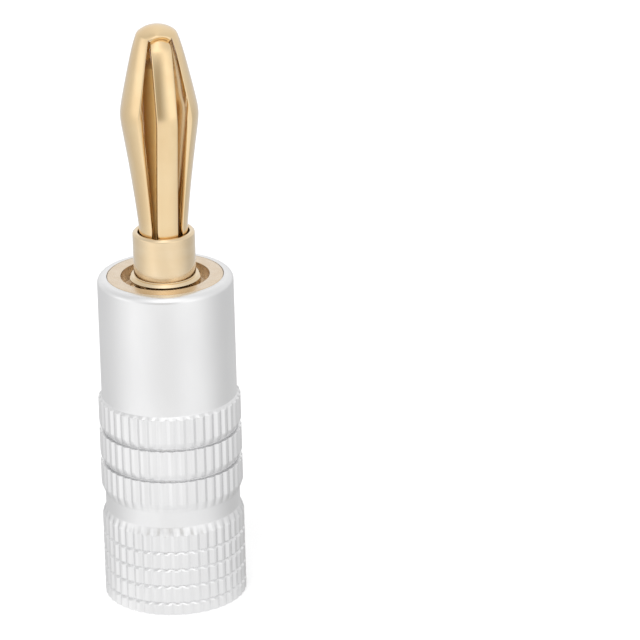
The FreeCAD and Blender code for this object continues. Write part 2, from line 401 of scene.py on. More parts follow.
def height_window() -> NodeTree:
    """A band of heights, as a mask.

    Returns:
        Group with inputs Low, High and Blend, in metres, and output Mask.
    """
    group = ShaderGroup("height_window", {"Low": 0.0, "High": 0.01, "Blend": 0.0002}, ["Mask"])
    height, blend = group.add("ShaderNodeSeparateXYZ", {0: group.place}, "Z"), group.source["Blend"]
    start, end = (
        group.rise(height, group.maths("SUBTRACT", edge, blend), group.maths("ADD", edge, blend))
        for edge in (group.source["Low"], group.source["High"])
    )
    return group.give(Mask=group.maths("MULTIPLY", start, group.maths("SUBTRACT", 1.0, end)))


class Finish(Nodes):
    """A material of plated metal under construction."""

    shared: dict[str, NodeTree] = {}
    makers: dict[str, Callable[[], NodeTree]] = {
        maker.__name__: maker
        for maker in (turning_marks, tone_drift, blast_grain, plating_specks, axis_distance, height_window)
    }
    coat_roughness = 0.12

    def __init__(self, name: str, coat: float = 0.0, metallic: float = 1.0) -> None:
        """Start a material.

        Args:
            name: Name of the material.
            coat: Weight of the clear protective layer over the metal.
            metallic: Share of the light that it mirrors; the rest is scattered, which on the centre post is partly
                painted reflection.
        """
        self.material = bpy.data.materials.new(name)
        self.material.use_nodes = True
        super().__init__(self.material.node_tree)
        self.shader = self.tree.nodes["Principled BSDF"].inputs
        self.shader["Metallic"].default_value = metallic
        self.shader["Coat Weight"].default_value = coat
        self.shader["Coat Roughness"].default_value = self.coat_roughness

    def group(self, name: str, output: str, **values: float) -> NodeSocket:
        """Place a shared group with its own values.

        Args:
            name: Name of the shared group.
            output: Output to give back.
            values: Values of its inputs.

        Returns:
            The output's socket.
        """
        if name not in self.shared:
            self.shared[name] = self.makers[name]()
        return self.add("ShaderNodeGroup", values, output, node_tree=self.shared[name])

    def dress(self, colour: NodeSocket, roughness: NodeSocket, height: NodeSocket, depth: float) -> Material:
        """Put the look together.

        Args:
            colour: The metal's colour.
            roughness: The metal's roughness.
            height: Height of its fine relief, from 0 to 1.
            depth: Depth of the relief in metres.

        Returns:
            The material.
        """
        normal = self.add("ShaderNodeBump", {"Strength": 1.0, "Distance": depth, "Height": height})
        for label, socket in (("Base Color", colour), ("Roughness", roughness), ("Normal", normal)):
            self.tree.links.new(socket, self.shader[label])
        return self.material


@dataclass(frozen=True)
class SatinSilver:
    """Satin silver plating over a fine-blasted turned blank, with painted shade in its knurl grooves and ring grooves.
    """

    light: Colour = (0.90, 0.90, 0.903)
    shade: Colour = (0.865, 0.865, 0.87)
    # The two darker colours below are painted shade for the knurl grooves and the ring grooves between the bands.
    groove_painted_shade: Colour = (0.86, 0.86, 0.865)
    seam_painted_shade: Colour = (0.84, 0.84, 0.845)
    low_roughness: float = 0.30
    high_roughness: float = 0.38
    grain_depth: float = 0.0000012
    grain_size: float = 0.00011
    drift_size: float = 0.004
    drift_stretch: float = 2.5
    groove_inside: float = 0.00509
    groove_outside: float = 0.00519
    stretch_blend: float = 0.00004

    def build(self, knurls: Profile, seams: Profile) -> Material:
        """Build the material, with painted shade in the knurl grooves and the ring grooves.

        Args:
            knurls: Lowest and highest height of each knurled stretch, in metres.
            seams: Lowest and highest height of each ring groove between the bands, in metres.

        Returns:
            The material.
        """
        finish = Finish("satin_silver_plating")
        drift = finish.group("tone_drift", "Tone", Size=self.drift_size, Stretch=self.drift_stretch)
        colour = finish.mix(drift, self.light, self.shade)
        depth = finish.group("axis_distance", "Depth", Inside=self.groove_inside, Outside=self.groove_outside)
        # Painted shade: points deep in the knurl grooves and the ring grooves take the darker colours.
        for stretches, tone in ((knurls, self.groove_painted_shade), (seams, self.seam_painted_shade)):
            for low, high in stretches:
                window = finish.group("height_window", "Mask", Low=low, High=high, Blend=self.stretch_blend)
                colour = finish.mix(finish.maths("MULTIPLY", depth, window), colour, tone)
        roughness = finish.mix(drift, self.low_roughness, self.high_roughness, "FLOAT")
        grain = finish.group("blast_grain", "Height", Size=self.grain_size)
        return finish.dress(colour, roughness, grain, self.grain_depth)


@dataclass(frozen=True)
class GoldPlate:
    """Bright, pale gold plating on a turned or bent piece."""

    name: str
    light: Colour = (0.865, 0.665, 0.395)
    deep: Colour = (0.82, 0.585, 0.31)
    speck: Colour = (0.30, 0.17, 0.06)
    low_roughness: float = 0.10
    high_roughness: float = 0.17
    line_depth: float = 0.0000008
    lines: float = 6000.0
    waver: float = 40.0
    speck_share: float = 0.12
    drift_size: float = 0.0025
    drift_stretch: float = 1.6
    drift_tone: float = 0.7
    line_tone: float = 0.35
    coat: float = 0.7
    metallic: float = 1.0

    def build(self) -> Material:
        """Build the material.

        Returns:
            The material.
        """
        finish = Finish(self.name, self.coat, self.metallic)
        drift = finish.group("tone_drift", "Tone", Size=self.drift_size, Stretch=self.drift_stretch)
        tone, height = (
            finish.group("turning_marks", output, Lines=self.lines, Waver=self.waver) for output in ("Tone", "Height")
        )
        colour = finish.mix(finish.maths("MULTIPLY", drift, self.drift_tone), self.light, self.deep)
        colour = finish.mix(finish.maths("MULTIPLY", tone, self.line_tone), colour, self.deep)
        colour = finish.mix(finish.group("plating_specks", "Mask", Share=self.speck_share), colour, self.speck)
        roughness = finish.mix(drift, self.low_roughness, self.high_roughness, "FLOAT")
        return finish.dress(colour, roughness, height, self.line_depth)


# ---------------------------------------------------------------- barrel


@dataclass
class RingArray:
    """Geometry Nodes tree that sets a sector around the axis and joins the copies."""

    count: int

    def tree(self) -> NodeTree:
        """Build the tree.

        Returns:
            A tree with inputs Sector, Count, Merge Distance and Material.
        """
        tree = bpy.data.node_groups.new("ring_array", "GeometryNodeTree")
        kinds = {"Sector": "Geometry", "Count": "Int", "Merge Distance": "Float", "Material": "Material"}
        for label, kind in kinds.items():
            tree.interface.new_socket(label, in_out="INPUT", socket_type=f"NodeSocket{kind}")
        tree.interface.new_socket("Ring", in_out="OUTPUT", socket_type="NodeSocketGeometry")
        nodes = Nodes(tree)
        source = nodes.node("NodeGroupInput", {}).outputs
        places = nodes.add("GeometryNodePoints", {"Count": source["Count"]})
        step = nodes.maths("DIVIDE", TURN, source["Count"])
        turn = nodes.maths("MULTIPLY", nodes.add("GeometryNodeInputIndex", {}), step)
        rotation = nodes.add("FunctionNodeEulerToRotation", {0: nodes.add("ShaderNodeCombineXYZ", {"Z": turn})})
        inputs = {"Points": places, "Instance": source["Sector"], "Rotation": rotation}
        ring = nodes.add("GeometryNodeRealizeInstances", {0: nodes.add("GeometryNodeInstanceOnPoints", inputs)})
        inputs = {"Geometry": ring, "Distance": source["Merge Distance"]}
        ring = nodes.add("GeometryNodeMergeByDistance", inputs)
        ring = nodes.add("GeometryNodeSetMaterial", {"Geometry": ring, "Material": source["Material"]})
        nodes.node("NodeGroupOutput", {0: ring})
        return tree

    def apply(self, sector: Object, material: Material) -> Mesh:
        """Run the tree on a sector.

        Args:
            sector: Object whose mesh is one sector.
            material: Finish of the ring.

        Returns:
            The whole ring as one plain mesh.
        """
        modifier = sector.modifiers.new("ring", "NODES")
        modifier.node_group = self.tree()
        values = {"Count": self.count, "Merge Distance": MERGE_DISTANCE, "Material": material}
        for item in modifier.node_group.interface.items_tree:
            if item.in_out == "INPUT" and item.name in values:
                modifier[item.identifier] = values[item.name]
        graph = bpy.context.evaluated_depsgraph_get()
        mesh = bpy.data.meshes.new_from_object(sector.evaluated_get(graph))
        sector.modifiers.remove(modifier)
        return mesh


@dataclass
class KnurledBarrel:
    """Turned barrel with a rear knurl of five rows and three knurled bands."""

    length: float = 24.9
    plain_r: float = 4.97
    knurl_r: float = 5.22
    waist_r: float = 4.95
    front_round: float = 0.5
    rim_steps: int = 12
    rear_chamfer: float = 0.06
    rear_top: float = 6.3
    rear_bevel: float = 0.6
    row_pitch: float = 1.345
    row_count: int = 5
    row_half: float = 0.15
    row_depth: float = 0.2
    waist_length: float = 1.2
    low_bevel: float = 0.7
    band_pitch: float = 2.45
    band_count: int = 3
    band_bevel: float = 0.62
    band_drop: float = 0.22
    groove_width: float = 0.12
    groove_depth: float = 0.36
    top_chamfer: float = 0.22
    outer_round: float = 0.035
    inner_round: float = 0.04
    outer_steps: int = 3
    inner_steps: int = 2
    rib_count: int = 43
    first_groove_deg: float = 3.3
    rib_depth: float = 0.13
    rib_top: float = 0.54
    rib_root: float = 0.08
    shoulder_width: float = 1.1
    shoulder_drop: float = 0.02
    flank: Pairs = ((0.86, 0.12), (0.14, 0.88))
    root: Pairs = ((0.8, 0.97), (0.3, 1.0))
    # knurl_start, rear_fade and band_fade bound where the silver gets painted groove shade.
    knurl_start: float = -1.0
    rear_fade: float = 0.55
    band_fade: float = 0.42
    hole_r: float = 2.6
    hole_chamfer: float = 0.4
    socket_r: float = 4.27
    seat: float = 8.0

    def band_foot(self, band: int) -> float:
        """Height of a band's foot, counted from 0 at the lowest band."""
        return self.rear_top + self.rear_bevel + self.waist_length + band * self.band_pitch

    def outline(self) -> Profile:
        """Closed outline of the barrel, from its rear edge up, over the rim and back inside.

        Returns:
            (radius, height) points.
        """
        r, groove_r = self.knurl_r, self.knurl_r - self.groove_depth
        outer = [(r - self.rear_chamfer, 0.0), (r, self.rear_chamfer)]
        for row in range(self.row_count - 1, 0, -1):
            middle = self.rear_top - row * self.row_pitch
            outer += [(r, middle - self.row_half), (r - self.row_depth, middle), (r, middle + self.row_half)]
        outer += [(r, self.rear_top), (self.waist_r, self.rear_top + self.rear_bevel)]
        outer += [(self.waist_r, self.band_foot(0)), (r, self.band_foot(0) + self.low_bevel), (r, self.band_foot(1))]
        for band in range(1, self.band_count):
            foot = self.band_foot(band)
            outer += [(groove_r, foot), (groove_r, foot + self.groove_width)]
            outer += [(r - self.band_drop, foot + self.groove_width), (r, foot + self.band_bevel)]
            outer.append((r, self.band_foot(band + 1)))
        centre_r, centre_z = self.plain_r - self.front_round, self.length - self.front_round
        outer += [(self.plain_r, self.band_foot(self.band_count) + self.top_chamfer), (self.plain_r, centre_z)]
        outer = rounded(outer, self.outer_round, self.outer_steps)
        rim = [
            (centre_r + self.front_round * math.cos(turn), centre_z + self.front_round * math.sin(turn))
            for turn in np.linspace(0, math.pi / 2, self.rim_steps + 1)[1:]
        ]
        inner = [rim[-1], (self.socket_r, self.length), (self.socket_r, self.seat), (self.hole_r, self.seat)]
        inner += [(self.hole_r, self.hole_chamfer), (self.hole_r + self.hole_chamfer, 0.0), outer[0]]
        return outer + rim[:-1] + rounded(inner, self.inner_round, self.inner_steps)[:-1]

    def sector(self) -> Object:
        """One rib's share of the barrel, with the groove beside it.

        Returns:
            An open mesh that closes when it is set around the axis.
        """
        half = math.pi / self.rib_count
        top, root = self.rib_top / 2 / self.knurl_r, self.rib_root / 2 / self.knurl_r
        shoulder = top * self.shoulder_width
        across = [(half, 0.0), ((half + shoulder) / 2, 0.0), (shoulder, 0.0), (top, self.shoulder_drop)]
        across += [(root + (top - root) * share, depth) for share, depth in self.flank]
        across += [(root * share, depth) for share, depth in self.root]
        across = [(-turn, depth) for turn, depth in across] + across[::-1]
        turns, depths = np.array(across).T
        outline = self.outline()
        root_r, knurl_top = self.knurl_r - self.rib_depth, self.band_foot(self.band_count) + self.top_chamfer
        rows = []
        for radius, height in outline:
            reach = radius - root_r if radius > root_r and height < knurl_top else 0.0
            rows.append(around(radius - reach * depths, math.radians(self.first_groove_deg) + turns, height))
        faces = grid_faces(len(outline), len(across), True, False)
        return place_object("barrel_sector", new_mesh("barrel_sector", np.concatenate(rows), faces))

    def build(self, material: Material) -> Object:
        """Build the barrel by setting its sector around the axis.

        Args:
            material: Finish of the barrel.

        Returns:
            The barrel.
        """
        sector = self.sector()
        mesh = clean(RingArray(self.rib_count).apply(sector, material))
        bpy.data.objects.remove(sector)
        piece = place_object("knurled_barrel", mesh)
        mesh.name = piece.name
        return settle(piece, Body.BARREL, "barrel", material)

    def knurls(self) -> Profile:
        """Lowest and highest height of each knurled stretch, in metres, where the silver gets painted groove shade.

        Returns:
            A pair of heights for the rear knurl and for each band.
        """
        stretches = [(self.knurl_start, self.rear_top + self.rear_bevel * self.rear_fade)]
        for band in range(self.band_count):
            bevel = self.band_bevel if band else self.low_bevel
            chamfer = self.top_chamfer if band == self.band_count - 1 else 0.0
            stretches.append((self.band_foot(band) + bevel * self.band_fade, self.band_foot(band + 1) + chamfer))
        return [(low * MM, high * MM) for low, high in stretches]

    def seams(self) -> Profile:
        """Lowest and highest height of the ring groove between each two bands, in metres, where the silver gets painted
        shade.
        """
        feet = [self.band_foot(band) for band in range(1, self.band_count)]
        return [(foot * MM, (foot + self.groove_width) * MM) for foot in feet]


# ---------------------------------------------------------------- gold turned pieces


@dataclass
class Thread:
    """Right-hand screw thread shared by the stem and the sleeve."""

    pitch: float = 0.8
    crest_r: float = 2.61
    root_r: float = 2.15
    root_flat: float = 0.2
    run_out_height: float = 24.6
    run_out_deg: float = -115.0
    run_out_turns: float = 0.33
    nut_crest_r: float = 2.2
    nut_crest_flat: float = 0.14
    nut_root_r: float = 2.66
    flank_slope: float = 1.732
    flank_shares: tuple[float, ...] = (0.45, 0.7, 1.0)
    steps: int = 120

    @property
    def datum(self) -> float:
        """Height of the groove's middle at angle 0."""
        return self.run_out_height - self.pitch * self.run_out_deg / 360

    def offset(self, turn: np.ndarray, height: np.ndarray) -> tuple[np.ndarray, np.ndarray]:
        """Place of points against the nearest groove.

        Args:
            turn: Angles about the axis.
            height: Heights.

        Returns:
            The distance along the axis in millimetres, and the groove's place along the helix in turns.
        """
        turns = (height - self.datum) / self.pitch - turn / TURN
        nearest = np.round(turns)
        return (turns - nearest) * self.pitch, nearest + turn / TURN

    def flanks(self, away: np.ndarray, flat: float) -> np.ndarray:
        """Rise of the flanks beside a flat, at distances from its middle."""
        return np.maximum(0, np.abs(away) - flat / 2) * self.flank_slope

    def stem_radius(self, turn: np.ndarray, height: np.ndarray) -> np.ndarray:
        """Radius of the stem, whose groove runs out near the collar.

        Args:
            turn: Angles about the axis.
            height: Heights.

        Returns:
            The radius at each point.
        """
        away, along = self.offset(turn, height)
        end = self.run_out_deg / 360
        lift = (self.crest_r - self.root_r) * smooth_step(along, end - self.run_out_turns, end)
        return np.minimum(self.crest_r, self.root_r + lift + self.flanks(away, self.root_flat))

    def nut_radius(self, turn: np.ndarray, height: np.ndarray) -> np.ndarray:
        """Radius of the sleeve's thread, whose crest lies in the stem's groove."""
        away, _ = self.offset(turn, height)
        return np.minimum(self.nut_root_r, self.nut_crest_r + self.flanks(away, self.nut_crest_flat))

    def rows(self, low: float, high: float, shape: Callable, flat: float) -> list[np.ndarray]:
        """Rows of points that follow the helix between two heights, from the lower one up.

        Args:
            low: Lowest height.
            high: Highest height.
            shape: Radius at an angle and a height.
            flat: Width of the flat at the groove's middle.

        Returns:
            The rows; their last point lies over their first.
        """
        turn = np.linspace(0, TURN, self.steps + 1)
        edge = flat / 2 + (self.crest_r - self.root_r) / self.flank_slope
        beside = [flat / 2] + [edge * share for share in self.flank_shares]
        marks = [-mark for mark in reversed(beside)] + [0.0] + beside
        first = math.floor((low - self.datum) / self.pitch) - 2
        last = math.ceil((high - self.datum) / self.pitch) + 1
        made = []
        for number in range(first, last + 1):
            for mark in marks:
                height = np.clip(self.datum + self.pitch * (number + turn / TURN) + mark, low, high)
                made.append(around(shape(turn, height), turn, height))
        return made

    def piece(self, name: str, lower: Profile, upper: Profile, shape: Callable, flat: float) -> Object:
        """Make a piece that is threaded between two plain stretches.

        Args:
            name: Name of the piece.
            lower: Outline up to the thread's lower end.
            upper: Outline from the thread's upper end, to the axis or back to the start.
            shape: Radius of the thread at an angle and a height.
            flat: Width of the flat at the groove's middle.

        Returns:
            The piece.
        """
        turn = np.linspace(0, TURN, self.steps + 1)
        plain = [[around(r, turn, z) for r, z in outline] for outline in (lower, upper)]
        rows = plain[0] + self.rows(lower[-1][1], upper[0][1], shape, flat) + plain[1]
        faces = grid_faces(len(rows), self.steps + 1, lower[0][0] > 0, False)
        return place_object(name, clean(new_mesh(name, np.concatenate(rows), faces)))


@dataclass
class ThreadedSleeve:
    """Gold ring and nut in the front of the barrel."""

    thread: Thread = field(default_factory=Thread)
    outer_r: float = 4.25
    foot: float = 8.0
    face: float = 24.9
    edge_chamfer: float = 0.06
    recess_r: float = 3.24
    recess_floor: float = 23.8
    thread_top: float = 23.15
    thread_bottom: float = 16.0
    lead_slope: float = 1.5
    seat_top: float = 15.8
    seat_bottom: float = 14.8
    throat_r: float = 1.75
    throat_bottom: float = 13.7
    chamber_top: float = 13.0
    chamber_r: float = 2.8
    edge_round: float = 0.05

    def build(self, material: Material) -> Object:
        """Build the sleeve.

        Args:
            material: Finish of the sleeve.

        Returns:
            The sleeve.
        """
        thread, bore = self.thread, self.thread.nut_root_r

        def bored(turn: np.ndarray, height: np.ndarray) -> np.ndarray:
            """Radius of the thread with a lead-in at both ends.

            Args:
                turn: Angles about the axis.
                height: Heights.

            Returns:
                The radius at each point.
            """
            lead_top = bore - (self.thread_top - height) * self.lead_slope
            lead_bottom = bore - (height - self.thread_bottom) * self.lead_slope
            return np.maximum(np.maximum(thread.nut_radius(turn, height), lead_top), np.minimum(bore, lead_bottom))

        lower = [(self.chamber_r, self.chamber_top), (self.throat_r, self.throat_bottom)]
        lower += [(self.throat_r, self.seat_bottom), (bore, self.seat_top), (bore, self.thread_bottom)]
        upper = [(bore, self.thread_top), (bore, self.recess_floor), (self.recess_r, self.recess_floor)]
        upper += [(self.recess_r, self.face), (self.outer_r - self.edge_chamfer, self.face)]
        upper += [(self.outer_r, self.face - self.edge_chamfer), (self.outer_r, self.foot), (self.chamber_r, self.foot)]
        lower, upper = rounded(lower, self.edge_round), rounded(upper, self.edge_round)
        piece = thread.piece("gold_sleeve", lower, upper, bored, thread.nut_crest_flat)
        return settle(piece, Body.BARREL, "threaded_sleeve", material)


@dataclass
class PinBody:
    """Threaded stem, collar and cup of the pin."""

    thread: Thread = field(default_factory=Thread)
    tip: float = 16.0
    tip_r: float = 1.7
    cone_top: float = 17.0
    thread_bottom: float = 16.35
    thread_top: float = 24.79
    shoulder: float = 25.0
    shoulder_chamfer: float = 0.16
    collar_r: float = 2.27
    collar_top: float = 28.35
    collar_bevel: float = 0.16
    cup_r: float = 1.87
    cup_chamfer: float = 0.08
    cup_floor: float = 25.5
    post_hole_r: float = 1.17
    post_floor: float = 20.5
    edge_round: float = 0.05
    tip_round: float = 0.06

    def build(self, material: Material) -> Object:
        """Build the pin body.

        Args:
            material: Finish of the pin body.

        Returns:
            The pin body.
        """
        thread, crest = self.thread, self.thread.crest_r
        slope = (crest - self.tip_r) / (self.cone_top - self.tip)

        def stem(turn: np.ndarray, height: np.ndarray) -> np.ndarray:
            """Radius of the stem, with its clamping cone."""
            return np.minimum(thread.stem_radius(turn, height), self.tip_r + (height - self.tip) * slope)

        start_r = self.tip_r + (self.thread_bottom - self.tip) * slope
        lower = [(0.0, self.tip), (self.tip_r, self.tip), (start_r, self.thread_bottom)]
        upper = [(crest, self.thread_top), (crest - self.shoulder_chamfer, self.shoulder)]
        upper += [(self.collar_r, self.shoulder), (self.collar_r, self.collar_top - self.collar_bevel)]
        upper.append((self.collar_r - self.collar_bevel, self.collar_top))
        upper.append((self.cup_r + self.cup_chamfer, self.collar_top))
        upper += [(self.cup_r, self.collar_top - self.cup_chamfer), (self.cup_r, self.cup_floor)]
        upper += [(self.post_hole_r, self.cup_floor), (self.post_hole_r, self.post_floor), (0.0, self.post_floor)]
        lower, upper = rounded(lower, self.tip_round), rounded(upper, self.edge_round)
        piece = thread.piece("gold_pin_body", lower, upper, stem, thread.root_flat)
        return settle(piece, Body.PIN, "pin_body", material)


@dataclass
class CentrePost:
    """Round rod inside the spring leaves."""

    radius: float = 1.15
    foot: float = 20.52
    top: float = 41.3
    chamfer: float = 0.3
    edge_round: float = 0.08
    segments: int = 128

    def build(self, material: Material) -> Object:
        """Build the post.

        Args:
            material: Finish of the post.

        Returns:
            The post.
        """
        outline = [(0.0, self.foot), (self.radius, self.foot), (self.radius, self.top - self.chamfer)]
        outline += [(self.radius - self.chamfer, self.top), (0.0, self.top)]
        turn = np.arange(self.segments) * TURN / self.segments
        rows = [around(r, turn, z) for r, z in rounded(outline, self.edge_round)]
        mesh = new_mesh("gold_centre_post", np.concatenate(rows), grid_faces(len(rows), self.segments, False, True))
        piece = place_object("gold_centre_post", clean(mesh))
        return settle(piece, Body.POST, "centre_post", material)


# ---------------------------------------------------------------- spring strips


@dataclass(frozen=True)
class StripForm:
    """What differs between the two crossed strips."""

    piece: str
    node: str
    samples: int
    half: float
    softening: float
    blend_below: float
    blend_above: float


class Strip(enum.Enum):
    """The two crossed spring strips."""

    WIDE = StripForm("gold_wide_strip", "wide_spring_strip", 25, 1.4, 0.05, 0.9, 0.22)
    NARROW = StripForm("gold_narrow_strip", "narrow_spring_strip", 15, 0.76, 0.11, 1.1, 0.6)


@dataclass
class SpringStrip:
    """A strip bent over the tip, with a bulging leaf on each side."""

    kind: Strip
    thickness: float = 0.38
    foot: float = 25.52
    root: float = 28.85
    bulge: float = 37.4
    shoulder: float = 43.38
    tip: float = 44.03
    base_r: float = 1.79
    bulge_r: float = 2.83
    shoulder_r: float = 1.49
    softness: float = 0.22
    lower_lead: float = 0.72
    curl: float = 0.152
    curl_length: float = 0.8
    lean_deg: float = 22.0
    shoulder_round: float = 0.42
    narrow_half: float = 0.76
    narrow_bend: tuple[float, float] = (0.8, 1.4)
    root_edge: float = 0.91
    bulge_edge_deg: float = 46.4
    bulge_inner_deg: float = 50.5
    wide_edge: float = 0.84
    wide_bend: float = 0.5
    corner_power: float = 8
    crossing_gap: float = 0.02
    lip_reach: float = 1.36
    crease_drop: float = 0.72
    edge_round: float = 0.07
    edge_fade: float = 0.35
    path_step: float = 0.02
    foot_lead: float = 1.0
    leaf_steps: int = 400
    shoulder_steps: int = 40
    tip_steps: int = 120
    corner_steps: int = 3
    kernel_reach: int = 4
    no_length: float = 1e-9
    bend_zone: float = 0.9
    cup_spacing: float = 0.8
    leaf_spacing: float = 0.16
    bend_spacing: float = 0.06

    @property
    def wide(self) -> bool:
        """Whether this is the wide strip."""
        return self.kind is Strip.WIDE

    @property
    def curl_height(self) -> float:
        """Height where a leaf has curled in."""
        return self.shoulder if self.wide else self.shoulder - self.crease_drop

    def leaf_radius(self, height: np.ndarray) -> np.ndarray:
        """Outer radius of a leaf along its middle.

        Args:
            height: Heights above the root.

        Returns:
            The radius at each height.
        """
        peak = self.bulge_r + self.softness / 2
        top_line = self.shoulder_r + self.curl
        slope = (peak - top_line) / (self.shoulder - self.bulge)
        curl = self.curl * np.exp((height - self.curl_height) / self.curl_length)
        upper = top_line + slope * (self.shoulder - height) - curl
        share = np.maximum(0, (height - self.root) / (self.bulge - self.root))
        rise = self.lower_lead * share + (1 - self.lower_lead) * share**2
        lower = self.base_r + (peak - self.base_r) * rise
        return (lower + upper - np.hypot(lower - upper, self.softness)) / 2

    def tip_arc(self) -> tuple[float, float, float, float]:
        """Arcs of the shoulder and of the tip.

        Returns:
            Centre radius and height of the shoulder's arc, and centre height and radius of the tip's.
        """
        lean = math.radians(self.lean_deg)
        centre_r = self.shoulder_r - self.shoulder_round * math.cos(lean)
        centre_z = self.shoulder - self.shoulder_round * math.sin(lean)
        drop = self.tip - centre_z
        tip_r = (centre_r**2 + drop**2 - self.shoulder_round**2) / (2 * (drop - self.shoulder_round))
        return centre_r, centre_z, self.tip - tip_r, tip_r

    def path(self) -> np.ndarray:
        """Middle line of the outer face from the foot to the top of the tip, evenly spaced.

        Returns:
            (radius, height) points.
        """

        def arc(radius: float, start: float, end: float, steps: int, centre: tuple[float, float]) -> np.ndarray:
            """Points along an arc."""
            turn = np.linspace(start, end, steps)
            return np.stack([centre[0] + radius * np.cos(turn), centre[1] + radius * np.sin(turn)], 1)

        centre_r, centre_z, tip_z, tip_r = self.tip_arc()
        heights = np.linspace(self.root, self.curl_height, self.leaf_steps)
        parts = [np.array([[self.base_r, self.foot - self.foot_lead], [self.base_r, self.foot]])]
        parts.append(np.stack([self.leaf_radius(heights), heights], 1))
        if self.wide:
            top_r, start = tip_r, math.atan2(centre_z - tip_z, centre_r)
            lean = math.radians(self.lean_deg)
            parts.append(arc(self.shoulder_round, lean, start, self.shoulder_steps, (centre_r, centre_z)))
        else:
            top_r = tip_r - self.thickness - self.crossing_gap
            start = math.pi / 2 - math.asin(self.lip_reach / tip_r)
        parts.append(arc(top_r, start, math.pi - start, self.tip_steps, (0.0, tip_z)))
        line = np.concatenate(parts)
        length = np.concatenate([[0], np.cumsum(np.linalg.norm(np.diff(line, axis=0), axis=1))])
        step, spread = self.path_step, self.kind.value.softening
        even = np.arange(0, length[-1], step)
        reach = int(self.kernel_reach * spread / step)
        kernel = np.exp(-0.5 * (np.arange(-reach, reach + 1) * step / spread) ** 2)
        kernel /= kernel.sum()
        sides = [np.interp(even, length, line[:, axis]) for axis in (0, 1)]
        line = np.stack([np.convolve(side, kernel, "valid") for side in sides], 1)
        line = line[(line[:, 0] > step / 2) & (line[:, 1] >= self.foot)]
        return np.concatenate([line, [[0.0, self.tip if self.wide else tip_z + top_r]]])

    def stations(self) -> np.ndarray:
        """Points of the path that carry a section, close together where it bends.

        Returns:
            (radius, height) points.
        """
        line = self.path()
        picked = [0]
        for index in range(1, len(line) - 1):
            height = line[index, 1]
            spacing = self.leaf_spacing if height < self.curl_height - self.bend_zone else self.bend_spacing
            if height < self.root:
                spacing = self.cup_spacing
            if np.linalg.norm(line[index] - line[picked[-1]]) >= spacing:
                picked.append(index)
        return line[picked + [len(line) - 1]]

    def section(self) -> Profile:
        """Closed loop of a section.

        Returns:
            Places across from -1 to 1, with depths as shares of the thickness.
        """
        form = self.kind.value
        inset, sink = self.edge_round / form.half, self.edge_round / self.thickness
        across = np.linspace(-1 + inset, 1 - inset, form.samples)
        bend = np.linspace(0, math.pi / 2, self.corner_steps + 2)[1:-1]
        corner = [(1 - inset + inset * math.sin(a), sink - sink * math.cos(a)) for a in bend]
        right = corner + [(1.0, sink), (1.0, 0.5), (1.0, 1 - sink)]
        right += [(u, 1 - depth) for u, depth in reversed(corner)]
        left = [(-u, depth) for u, depth in reversed(right)]
        return [(u, 0.0) for u in across] + right + [(u, 1.0) for u in reversed(across)] + left

    def edge_angles(self, radius: float, height: float) -> np.ndarray:
        """Half angles of a leaf's outer and inner face at a station below the tip.

        Args:
            radius: Radius of the middle line.
            height: Height of the middle line.

        Returns:
            The two angles.
        """
        if not self.wide:
            return np.arcsin(self.narrow_half / np.array([radius, radius - self.thickness]))
        bulge = np.radians([self.bulge_edge_deg, self.bulge_inner_deg])
        if height < self.bulge:
            share = min(1.0, (self.bulge - height) / (self.bulge - self.root))
            end = math.acos(self.root_edge / (self.base_r - self.thickness))
        else:
            share = (height - self.bulge) / (self.shoulder - self.bulge)
            end = np.arccos(self.wide_edge / np.array([self.shoulder_r, self.shoulder_r - self.thickness]))
        return bulge + share * (end - bulge)

    def width(self, radius: float, height: float) -> tuple[float, float]:
        """Width of the strip at a station over the tip.

        Args:
            radius: Radius of the middle line.
            height: Height of the middle line.

        Returns:
            The half width, and the share from a level section, 0, to an upright one, 1.
        """
        if not self.wide:
            low, high = self.narrow_bend
            over = float(smooth_step(-radius, -high, -low)) if height > self.curl_height else 0.0
            return self.narrow_half, over
        shoulder_half = math.sqrt(self.shoulder_r**2 - self.wide_edge**2)
        share = float(smooth_step(radius, self.wide_bend, self.shoulder_r))
        half = self.lip_reach + (shoulder_half - self.lip_reach) * share
        power = self.corner_power
        limit = self.wide_edge * (1 - (self.wide_edge / self.shoulder_r) ** power) ** (-1 / power)
        edge = radius / (1 + (radius / limit) ** power) ** (1 / power)
        return half, 1 - min(1.0, max(0.0, (radius**2 - edge**2) / half**2))

    def rings(self) -> list[np.ndarray]:
        """Sections of one half of the strip, from the foot to the top of the tip.

        Returns:
            The points of each section.
        """
        form, loop = self.kind.value, self.section()
        crown = self.path()
        crown = crown[np.argmax(crown[:, 0]):][::-1].T
        _, _, tip_z, tip_r = self.tip_arc()
        top = self.curl_height
        curl_r = float(self.leaf_radius(np.array(top)))
        top_outer, top_inner = self.edge_angles(curl_r, top)
        rings = []
        for radius, height in self.stations():
            tilt = float(smooth_step(height, top - form.blend_below, top + form.blend_above))
            if height <= top:
                spread_r, over = radius, 0.0
                outer, inner = self.edge_angles(radius, height)
            else:
                half_width, over = self.width(radius, height)
                spread_r = max(radius, curl_r) * (1 - over) + tip_r * over
                outer = math.asin(half_width / spread_r)
                fade = float(smooth_step(height, top, top + self.edge_fade))
                inner = outer * (1 + (top_inner / top_outer - 1) * (1 - fade))
            ring = []
            for u, depth in loop:
                y = spread_r * math.sin(u * (outer + (inner - outer) * depth))
                x = math.sqrt(max(0.0, radius**2 - (1 - over) * y**2))
                z = float(np.interp(math.hypot(x, y), *crown)) if over > 0 else height
                level = np.array([x, y, 0.0]) / max(math.hypot(x, y), self.no_length)
                dome = np.array([x, y, z - tip_z])
                inward = level * (1 - tilt) + dome / np.linalg.norm(dome) * tilt
                ring.append(np.array([x, y, z]) - inward / np.linalg.norm(inward) * depth * self.thickness)
            rings.append(np.array(ring))
        return rings

